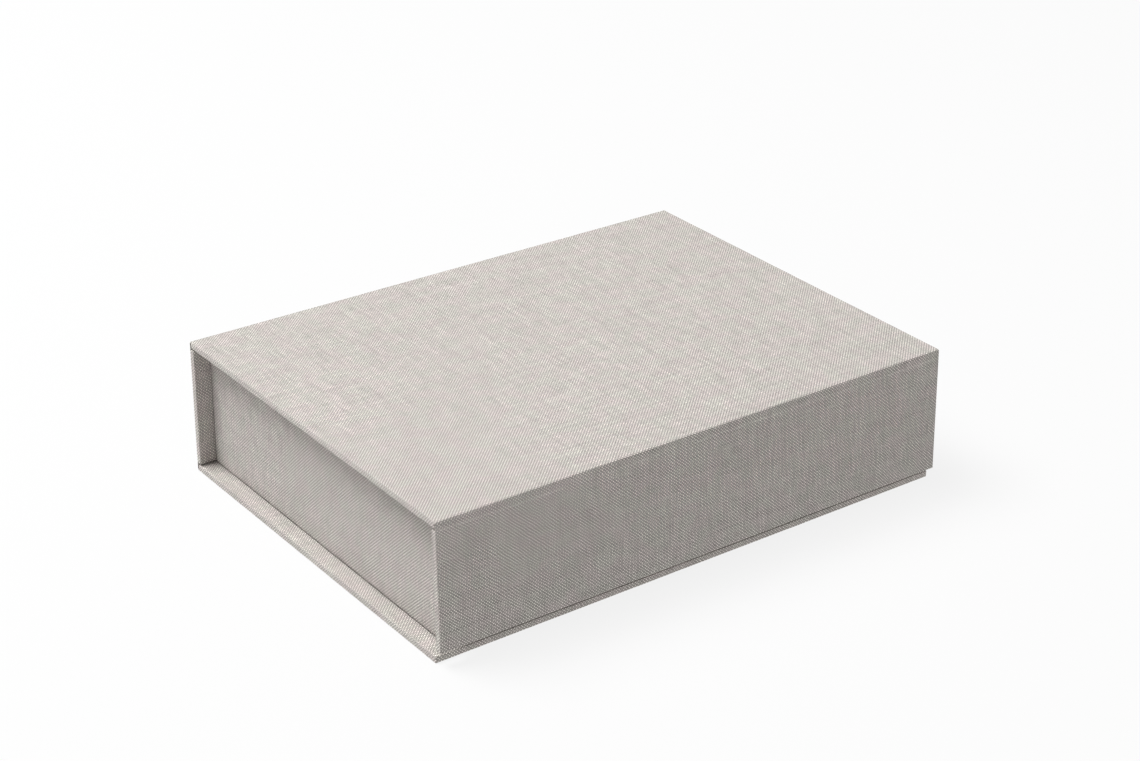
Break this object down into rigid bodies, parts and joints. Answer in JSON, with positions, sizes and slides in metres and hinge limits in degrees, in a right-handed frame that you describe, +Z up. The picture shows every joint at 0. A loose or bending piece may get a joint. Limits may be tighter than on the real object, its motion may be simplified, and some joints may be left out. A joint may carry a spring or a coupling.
{
  "type": "archival box",
  "caption": "Cloth-covered storage box: a shallow tray in a wrap-around case whose lid hinges along the spine and carries a drop flap in front.",
  "frame": {"origin": "centre of the overall box in plan, on the surface that the base rests on", "axes": "+X along the two hinges, +Y from the flap to the spine, +Z up"},
  "size_m": [0.235, 0.1754, 0.0569],
  "materials": {
    "case_cloth": "matte two-tone plain-weave cloth",
    "tray_cloth": "matte two-tone plain-weave cloth",
    "hinge_cloth": "matte two-tone plain-weave cloth",
    "lining_paper": "matte uncoated paper",
    "grey_board": "matte compressed board"
  },
  "bodies": {
    "case_and_tray": {"base_board": "grey_board", "base_cloth": "case_cloth", "base_lining": "lining_paper", "spine_board": "grey_board", "spine_cloth": "case_cloth", "spine_lining": "lining_paper", "lid_hinge_cloth": "case_cloth", "tray_floor_board": "grey_board", "tray_front_board": "grey_board", "tray_back_board": "grey_board", "tray_left_board": "grey_board", "tray_right_board": "grey_board", "tray_cloth": "tray_cloth", "tray_floor_lining": "lining_paper", "tray_front_lining": "lining_paper", "tray_back_lining": "lining_paper", "tray_left_lining": "lining_paper", "tray_right_lining": "lining_paper"},
    "lid": {"lid_board": "grey_board", "lid_cloth": "case_cloth", "lid_lining": "lining_paper", "lid_hinge_lining": "hinge_cloth"},
    "flap": {"flap_board": "grey_board", "flap_cloth": "case_cloth", "flap_lining": "lining_paper", "flap_hinge_cloth": "case_cloth", "flap_hinge_lining": "hinge_cloth"}
  },
  "joints": [
    {"name": "lid_hinge", "type": "hinge", "parent": "case_and_tray", "child": "lid", "pos_m": [0, 0.08771, 0.0569], "axis": [-1, 0, 0], "range_deg": [0, 179.5], "deforming": ["lid_hinge_lining"]},
    {"name": "flap_hinge", "type": "hinge", "parent": "lid", "child": "flap", "pos_m": [0, -0.08549, 0.0569], "axis": [-1, 0, 0], "range_deg": [-2.4, 177.5], "deforming": ["flap_hinge_lining"]}
  ]
}
